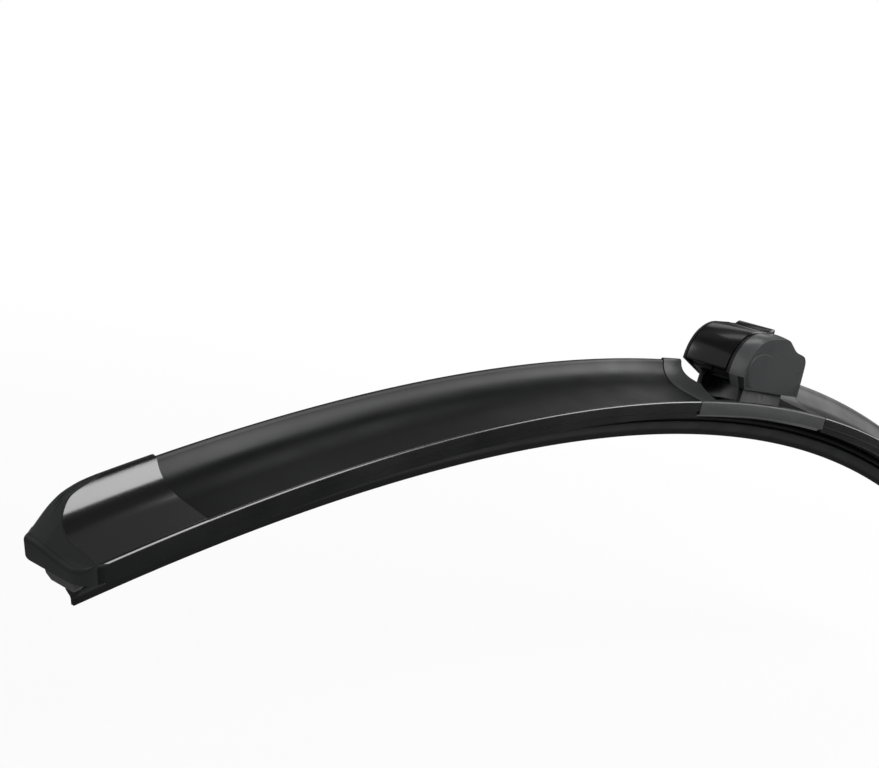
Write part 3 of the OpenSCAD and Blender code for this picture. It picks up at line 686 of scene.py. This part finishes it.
housing = sweep("housing_skin", hooked_section(0, SKIRT, WING_CREST),
                -HOUSING_HALF, HOUSING_HALF, STEP / 2)
edge_at = POCKET_HALF + 0.4
deck = edge_at - SWOOP - 2
swoop = ([(-edge_at - 2.4, WING_CREST + 8), (-edge_at - 2.2, WING_CREST + 0.2)]
         + bend((-edge_at - 1.8, WING_CREST - 0.05), (-edge_at, WING_CREST - 0.1),
                (-edge_at, WING_CREST - 1.6), 8)
         + bend((-edge_at + 0.05, WING_CREST - 1.9), (-edge_at + 0.4, RIM + 1.9),
                (-deck, RIM + 1), 20)
         + [(-deck + 7, RIM)])
swoop = clean_ring(swoop + [(-x, z) for x, z in swoop[::-1]])
carve(housing, upright("swoop", [(x + PIVOT_ALONG, z - PIVOT_OVER) for x, z in swoop], -30, 30))
inside = HALF_WIDTH - WALL + 0.05
leaf = [(-POCKET_HALF, inside), (POCKET_HALF, inside), (POCKET_HALF - POCKET_TAPER, -inside),
        (POCKET_TAPER - POCKET_HALF, -inside)]
carve(housing, ring_solid("pocket", [[Vector((PIVOT_ALONG + x, -u, z)) * MM for x, u in leaf]
                                     for z in (-10, 22)]))
plate = block(PLATE_SIDE + FIT, SLOT_TOP - 0.3, PLATE_TOP + FIT)
carve(housing, sweep("plate_room", plate, -PLATE_HALF, PLATE_HALF))
flat_merge(housing, 0.2)
soften(housing, 0.16, 38)
finish(housing, "blade", [satin_housing, satin_spoiler], ["housing"])
# The end faces of the housing take the dark spoiler finish as painted shade, so the seam to each
# spoiler half shows as a shadowed line.
seam_painted_shade_faces = [p for p in housing.data.polygons
        if abs(p.normal.x) > 0.9 and abs(p.center.x / MM - PIVOT_ALONG) > SEAM_FROM]
for polygon in seam_painted_shade_faces:
    polygon.material_index = 1
print("dark seam faces:", len(seam_painted_shade_faces))

# %% [markdown]
# ## The adaptor
# The adaptor clips on the wiper arm. Its barrel is a round nose, a flatter arc and a nearly
# level top; a thin rim closes it at the rear, the gloss cover lies in the middle, then come
# a sunk band and a collar whose edge falls softly to the flat cheek. Stacked rings of the
# same outline, each let in by its own depth, make the rim, the band and the soft fall in
# one closed mesh.

# %% Outline of the adaptor
BARREL_R, TOP_R, REACH = 10.85, 15.04, 13.7
SHOULDER, TOP_TURN = math.radians(35.8), math.radians(4.2)
REAR, DROP = 21.4, 2.4
nose_at = Vector((BARREL_R - REACH, 0.9))
shoulder_way = Vector((-math.sin(SHOULDER), math.cos(SHOULDER)))
top_at = nose_at + shoulder_way * (BARREL_R - TOP_R)
top_start = top_at + Vector((-math.sin(TOP_TURN), math.cos(TOP_TURN))) * TOP_R


def top_line(x, depth):
    height = top_start.y + (x - top_start.x) * math.tan(TOP_TURN)
    return (x, height - depth / math.cos(TOP_TURN))


def arc(centre, radius, first, last, steps):
    turns = [first + (last - first) * i / steps for i in range(steps + 1)]
    return [(centre.x + radius * math.cos(t), centre.y + radius * math.sin(t)) for t in turns]


def barrel_line(depth, reach):
    """Nose arc and top arc, let in by a depth, from a height called reach."""
    start = math.pi - math.asin((reach - nose_at.y) / (BARREL_R - depth))
    quarter = math.pi / 2
    return (arc(nose_at, BARREL_R - depth, start, quarter + SHOULDER, 22)
            + arc(top_at, TOP_R - depth, quarter + SHOULDER - 0.02, quarter + TOP_TURN, 12))


def rear_line(depth):
    d = depth
    return (bend(top_line(REAR - 15.8, d), (REAR - 13.4, 12.9 - d), (REAR - 12.2, 12.2 - d), 8)
            + bend((REAR - 10.4, 11.3 - d), (REAR - 8.6, 10.3 - d), (REAR - 6.6, 9.95 - d), 8)
            + bend((REAR - 3.4, 9.6 - d), (REAR - 0.9, 9.2 - d), (REAR - 0.5, 6.6), 8)
            + [(REAR - 0.3, 4), (REAR, -DROP)])


def cheek_line(barrel_depth, rear_depth, reach, foot):
    return barrel_line(barrel_depth, reach) + rear_line(rear_depth) + [(-foot, -DROP)]


CHEEK_REACH, CHEEK_FOOT, LET_IN = 0.6, 10.8, 0.12
print("adaptor outline points:", len(cheek_line(0, 0, CHEEK_REACH, CHEEK_FOOT)))

# %% [markdown]
# The body grows by unions from the near cheek to the rear rim. Every added slab reaches a
# fifth of a millimetre into its neighbour, since two solids that only touch don't join.

# %% Adaptor body
FRONT_FACE, REAR_FACE, REAR_RIM = 8.75, 9.5, 0.75
COVER_FRONT, SIDE_GAP, BAND_WIDTH, BAND_DEPTH, FALL = 3.4, 0.32, 1.0, 0.3, 0.8
COVER_THICK, COVER_END, OVERLAP = 1.3, 8.2, 0.2
band_start = COVER_FRONT + SIDE_GAP
band_end = band_start + BAND_WIDTH


def adaptor_slab(name, rings):
    return ring_solid(name, [[Vector((x, -u, z)) * MM for x, z in line] for u, line in rings])


def cheek_ring(u, depth, rear_depth):
    return u, cheek_line(depth, rear_depth, CHEEK_REACH, CHEEK_FOOT)


fall = bend((band_end + 0.15, 0.0), (FRONT_FACE - 1.9, 0.02), (FRONT_FACE, FALL), 14)
cheek_rings = [cheek_ring(band_end - 0.3, LET_IN, LET_IN), cheek_ring(band_end, LET_IN, LET_IN),
               cheek_ring(band_end + LET_IN, 0.0, 0.0)]
cheek_rings += [cheek_ring(u, depth, depth * 0.6) for u, depth in fall]
body = adaptor_slab("adaptor_body_skin", cheek_rings)

sunk, drum_end = COVER_THICK + SIDE_GAP, COVER_END + SIDE_GAP
drum_near, drum_far = band_start + OVERLAP, -REAR_FACE + REAR_RIM - OVERLAP
drum = barrel_line(sunk, 1.2) + [top_line(drum_end, sunk), top_line(drum_end, 3.0),
                                 (drum_end, 9), (drum_end, -DROP), (-2.5, -DROP)]
carve(body, adaptor_slab("drum", [(drum_far, drum), (drum_near, drum)]), "UNION")
band = cheek_line(BAND_DEPTH, 0.0, 0.8, 9)
carve(body, adaptor_slab("band", [(band_start, band), (band_end - 0.1, band)]), "UNION")
back = [(drum_end, -DROP), top_line(drum_end, 0.45)] + [
    point for point in rear_line(0.0) if point[0] > drum_end + 0.1]
carve(body, adaptor_slab("rear_block", [(drum_far, back), (drum_near, back)]), "UNION")
rim, rim_in = cheek_line(0, 0, 1.2, 2.5), cheek_line(0.15, 0.15, 1.2, 2.5)
carve(body, adaptor_slab("rear_rim", [(-REAR_FACE, rim_in), (-REAR_FACE + 0.15, rim),
                                      (-REAR_FACE + REAR_RIM, rim)]), "UNION")
print("adaptor faces:", len(body.data.polygons))

# %% [markdown]
# Inside, the adaptor has two slots for the carrier's ears, a saddle that snaps on the
# bush, and a socket for the arm. They are cut with prisms of the same sizes as the packed
# model's, so the visible piece clears the ears over the whole swing.

# %% Openings of the adaptor
EAR_SLOT, EAR_CORE, SOCKET_WIDE = 7.12, 5.18, 8.0
SADDLE_R, MOUTH_HALF, KNUCKLE_R = 2.66, 2.08, 1.9
HINGE = (-9.4, 2.7)


def disc(centre, radius, steps=48):
    return arc(Vector(centre), radius, 0, 2 * math.pi, steps)[:-1]


def from_hinge(*offsets):
    return [(HINGE[0] + x, HINGE[1] + z) for x, z in offsets]


slot_round = disc((0, 0), 5.5)
slot_flare = [(-8.9, -12), (-8.9, -0.9), (-5.3, 2.6), (2.6, 5.4), (16.4, 0.7), (16.4, -12)]
for near, far in ((EAR_CORE, EAR_SLOT), (-EAR_SLOT, -EAR_CORE)):
    carve(body, upright("slot_round", slot_round, near, far))
    carve(body, upright("slot_flare", slot_flare, near + 0.001, far - 0.001))
carve(body, upright("saddle", disc((0, 0), SADDLE_R), -5.3, 5.3))
carve(body, upright("saddle_mouth", block(MOUTH_HALF, -6, 0), -5.31, 5.31))
carve(body, upright("socket", [(5.4, 0.6), (24, 0.6), (24, 6.6), (5.4, 6.6)],
                    -SOCKET_WIDE / 2, SOCKET_WIDE / 2))
carve(body, upright("well", [(-6.6, 5.2), (5.5, 5.2), (5.5, 20), (-6.6, 20)], -4.01, 4.01))
carve(body, upright("latch_room", [(-5, -6), (-5, 2), (-7.8, -0.4), (-7.8, -6)], -4.5, 4.5))
web_room = from_hinge((0.62, 0), (0.62, 2.3), (-1.1, 4.7), (-8, 6), (-8, -8), (2, -5))
carve(body, upright("hinge_room", disc(HINGE, KNUCKLE_R + SIDE_GAP), -2.92, 2.92))
carve(body, upright("web_room", web_room, -2.93, 2.93))
tip_room = upright("tip_room", from_hinge((0, 0), (-8, 1.5), (-8, -8), (1.6, -8)),
                   band_start, -8.75)
carve(tip_room, upright("boss", disc(HINGE, KNUCKLE_R), 12, -12))
carve(body, tip_room)
carve(body, upright("cover_pin_hole", disc(HINGE, 0.81, 32), -5.85, 5.85))
print("adaptor faces:", len(body.data.polygons))

# %% [markdown]
# The outer face carries a faint raised field under an S-shaped line. It is a plate only a
# tenth of a millimetre proud whose upper ring is a little smaller, so its edge is a slope
# that catches light on one side and shades on the other.

# %% Raised field
FIELD_PROUD = 0.12
field = [(-11.6, -0.5), (-11.8, 2.7), (-10.9, 4.9), (-9.4, 6.4), (-6.5, 7.35), (-3.1, 7.6),
         (0.3, 7.0), (4.2, 5.7), (8.7, 4.4), (13.0, 3.7), (16.8, 3.8), (19.6, 4.9), (20.6, 3.4),
         (20.9, -2.2), (-8.6, -2.2)]


def corners_cut(ring):
    """Each side keeps its middle half, which rounds a ring when it is done twice."""
    return [(k * a + (1 - k) * c, k * b + (1 - k) * d)
            for (a, b), (c, d) in zip(ring, ring[1:] + ring[:1]) for k in (0.75, 0.25)]


field = corners_cut(corners_cut(field))
mid_x, mid_z = (sum(values) / len(field) for values in zip(*field))
inset = [(x + (mid_x - x) * 0.012, z + (mid_z - z) * 0.03) for x, z in field]
carve(body, adaptor_slab("field", [(FRONT_FACE - OVERLAP, field), (FRONT_FACE, field),
                                   (FRONT_FACE + FIELD_PROUD, inset)]), "UNION")

# %% [markdown]
# In the photograph the collar is smoother than the cheek, and it shines. Its finish is glossier,
# and its base colour, several times lighter than the cheek's, is a painted sheen. Its faces are
# found by where they lie: between band and cheek, near the barrel's outline, and facing away
# from its centre.

# %% Finishes of the adaptor
flat_merge(body, 0.2)
finish(body, "adaptor", [matt_adaptor, collar_gloss_painted_sheen], ["adaptor_body"],
       crease=30)
collar = 0
for polygon in body.data.polygons:
    across = -polygon.center.y / MM
    away = Vector((polygon.center.x, polygon.center.z)) / MM - nose_at
    outward = polygon.normal.x * away.x + polygon.normal.z * away.y > 0
    if band_end < across < FRONT_FACE - 0.05 and outward and away.length > BARREL_R - FALL - 0.6:
        # These faces get the collar finish and its painted sheen.
        polygon.material_index = 1
        collar += 1
print("collar faces:", collar)

# %% [markdown]
# ## The gloss cover
# A thin bent shell lies on the barrel, hinged in the nose. At its free end a ridge gives
# the finger something to lift. The shell is the ring between two barrel outlines.

# %% Cover
TIP, RIDGE_HIGH = 1.3, 0.95
shell = (barrel_line(0, TIP) + [top_line(COVER_END, 0), top_line(COVER_END, COVER_THICK)]
         + barrel_line(COVER_THICK, TIP)[::-1])
cover = upright("lock_cover_skin", shell, COVER_FRONT, -(REAR_FACE - REAR_RIM - SIDE_GAP))
ridge_foot = top_line(COVER_END, 0)[1]
ridge_top = ridge_foot + RIDGE_HIGH
ridge = ([(COVER_END - 3.4, ridge_foot - 0.7)]
         + bend((COVER_END - 3.2, ridge_foot - 0.1), (COVER_END - 2.0, ridge_top),
                (COVER_END - 0.9, ridge_top), 10)
         + bend((COVER_END - 0.6, ridge_top), (COVER_END, ridge_top - 0.05),
                (COVER_END, ridge_top - 0.5), 6)
         + [(COVER_END, ridge_foot - 1.1), (COVER_END - 1, ridge_foot - 1.1)])
carve(cover, upright("ridge", ridge, COVER_FRONT + 0.001, -7), "UNION")
web = [HINGE, (HINGE[0], HINGE[1] + 1.8), (-11.2, 6.2), (-12.6, 3.6)]
carve(cover, upright("knuckle", disc(HINGE, KNUCKLE_R), -2.6, 2.6), "UNION")
carve(cover, upright("web", web, -2.59, 2.59), "UNION")
clip = [(2.4, 12.4), (2.4, 9.6), (3.4, 8.9), (3.9, 9.6), (3.9, 12.4)]
carve(cover, upright("clip", clip, COVER_FRONT - SIDE_GAP, -(SOCKET_WIDE / 2 - SIDE_GAP)), "UNION")
carve(cover, upright("pin_hole", disc(HINGE, 0.86, 32), -10, 10))
flat_merge(cover, 0.2)
soften(cover, 0.12, 40)
finish(cover, "cover", [gloss_cover], ["lock_cover"])

# %% [markdown]
# ## Carrier, rails and fasteners
# The sheet carrier shows its ears between adaptor and housing. Rails, rivets, pins and the
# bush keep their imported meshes: they are plain pressed, turned or drawn parts whose shape
# is already right, so they only need their metal or plastic.

# %% Carrier and kept nodes
carrier = softened_copy("carrier_skin", "carrier", 0.12, 40)
finish(carrier, "blade", [painted_sheet], ["carrier"])
kept = {"rail_front": spring_steel, "rail_rear": spring_steel, "rail_rivets": zinc,
        "pivot_pin": zinc, "cover_pin": zinc, "pivot_bush": bush_plastic}
for name, material in kept.items():
    nodes[name].data.materials.clear()
    nodes[name].data.materials.append(material)
print("kept nodes:", sorted(kept))

# %% [markdown]
# ## Stage
# The photograph has a plain white ground. A round pale floor lies a little under the blade.
# Light Path tells the shaders which ray is asking. A camera ray sees the floor almost at full
# white, so the lamps needn't be turned up for it. About a seventh of the floor's own shading
# is kept near the blade, so that its shadow stays; towards the rim that part fades out, and
# no horizon shows. Gloss sees a strip of white floor right under the blade, which draws the
# light line on its lower edges, and dark cards beyond it.

# %% Floor
def joined(tree, kind, operation, *sources):
    """A new node of one kind whose first sockets take the given outputs."""
    node = tree.nodes.new(kind)
    if operation:
        node.operation = operation
    for socket, source in enumerate(sources):
        tree.links.new(source, node.inputs[socket])
    return node.outputs[0]


def ray_switch(tree, *kinds):
    path = tree.nodes.new("ShaderNodeLightPath")
    total = path.outputs[kinds[0]]
    for kind in kinds[1:]:
        total = joined(tree, "ShaderNodeMath", "MAXIMUM", total, path.outputs[kind])
    return total


def mixed(tree, share, first, second):
    return joined(tree, "ShaderNodeMixShader", None, share, first, second)


FLOOR_DROP, FLOOR_RADIUS, FLOOR_KEEP, FADE_FROM = 0.045, 0.75, 0.15, 0.2
STRIP_SPAN, STRIP_GLOW = (0.05, 0.11), (0.4, 0.03)
low = cad_box[0][2] - FLOOR_DROP
bm = bmesh.new()
bmesh.ops.create_circle(bm, cap_ends=True, segments=96, radius=FLOOR_RADIUS)
floor_mesh = bpy.data.meshes.new("floor")
bmesh.ops.translate(bm, verts=bm.verts, vec=(0, 0, low))
bm.to_mesh(floor_mesh)
bm.free()
floor = placed("floor", floor_mesh)

pale = bpy.data.materials.new("pale_floor")
pale.use_nodes = True
tree = pale.node_tree
paper = tree.nodes["Principled BSDF"]
paper.inputs["Base Color"].default_value = (0.8, 0.8, 0.8, 1)
paper.inputs["Roughness"].default_value = 0.9
paper.inputs["Specular IOR Level"].default_value = 0.0
place = tree.nodes.new("ShaderNodeTexCoord").outputs["Object"]

reach = tree.nodes.new("ShaderNodeVectorMath")
reach.operation = "LENGTH"
tree.links.new(place, reach.inputs[0])
fade = map_range(tree, reach.outputs["Value"], (FADE_FROM, FLOOR_RADIUS * 0.95),
                 (1 - FLOOR_KEEP, 1.0))
seen = ray_switch(tree, "Is Camera Ray", "Is Transmission Ray")
share = joined(tree, "ShaderNodeMath", "MULTIPLY", seen, fade)
glow = tree.nodes.new("ShaderNodeEmission")
ground = mixed(tree, share, paper.outputs[0], glow.outputs[0])

axes = tree.nodes.new("ShaderNodeSeparateXYZ")
tree.links.new(place, axes.inputs[0])
aside = joined(tree, "ShaderNodeMath", "ABSOLUTE", axes.outputs["Y"])
card = tree.nodes.new("ShaderNodeEmission")
tree.links.new(map_range(tree, aside, STRIP_SPAN, STRIP_GLOW), card.inputs["Strength"])
final = mixed(tree, ray_switch(tree, "Is Glossy Ray"), ground, card.outputs[0])
tree.links.new(final, tree.nodes["Material Output"].inputs["Surface"])
floor.data.materials.append(pale)
print("floor at mm:", round(low / MM, 1))

# %% [markdown]
# The world is white for the camera and for rays that pass through a material. Gloss sees a
# darker studio, as it does when a product is photographed between black cards: with the
# white in every reflection, black plastic would turn grey. Soft light from all round comes
# from a third, middling strength.

# %% World
GLOSS_WORLD, SOFT_WORLD = 0.05, 0.45
world = bpy.data.worlds.new("studio")
bpy.context.scene.world = world
world.use_nodes = True
tree = world.node_tree
tree.nodes.clear()


def background(strength):
    node = tree.nodes.new("ShaderNodeBackground")
    node.inputs["Color"].default_value = (1, 1, 1, 1)
    node.inputs["Strength"].default_value = strength
    return node.outputs[0]


lit = mixed(tree, ray_switch(tree, "Is Glossy Ray"),
            background(SOFT_WORLD), background(GLOSS_WORLD))
shown = mixed(tree, ray_switch(tree, "Is Camera Ray", "Is Transmission Ray"),
              lit, background(1.0))
world_out = tree.nodes.new("ShaderNodeOutputWorld")
tree.links.new(shown, world_out.inputs["Surface"])
bpy.context.scene.view_settings.view_transform = "Standard"
print("world strengths:", 1.0, GLOSS_WORLD, SOFT_WORLD)

# %% [markdown]
# The softboxes are area lights. Where each one stands was found backwards: take a place in
# the photograph that shines, mirror the line of sight about the surface there, and the
# light must stand that way. The saddle and the front edge point to the largest box, at the
# front right. The band along the crest points to a second one beside it. The boxes at the
# rear are weaker, and light the sides that the photograph doesn't show.

# %% Softboxes
def softbox(name, way, distance, width, height, radiance, aim=(0, 0, -0.01)):
    """An area light of a given radiance: its power is that times pi times its area."""
    lamp = bpy.data.lights.new(name, "AREA")
    lamp.shape, lamp.size, lamp.size_y = "RECTANGLE", width, height
    lamp.energy = radiance * math.pi * width * height
    box = placed(name, lamp)
    aim = Vector(aim)
    box.location = aim + Vector(way).normalized() * distance
    box.rotation_euler = (aim - box.location).to_track_quat("-Z", "Y").to_euler()
    print(name, "watts", round(lamp.energy, 2))


softbox("cap_box", (0.43, -0.74, 0.50), 1.0, 0.50, 0.95, 4.5, aim=(-0.2, 0, -0.03))
softbox("crest_box", (0.80, -0.47, 0.38), 1.0, 0.50, 0.50, 3.6)
softbox("right_box", (0.95, -0.02, 0.32), 1.0, 0.50, 0.50, 1.0)
softbox("collar_box", (0.28, 0.26, 0.92), 0.7, 0.34, 0.16, 1.1)
softbox("rear_right_box", (0.68, 0.45, 0.50), 0.5, 0.20, 0.16, 0.5)
softbox("rear_left_box", (-0.80, 0.42, 0.42), 0.9, 1.4, 0.7, 0.35)
softbox("top_rear_box", (0.30, 0.42, 0.86), 1.2, 0.9, 0.6, 0.10, aim=(-0.15, 0, -0.02))
softbox("rear_fill_box", (-0.20, 0.93, 0.30), 1.2, 1.0, 0.6, 2.2)
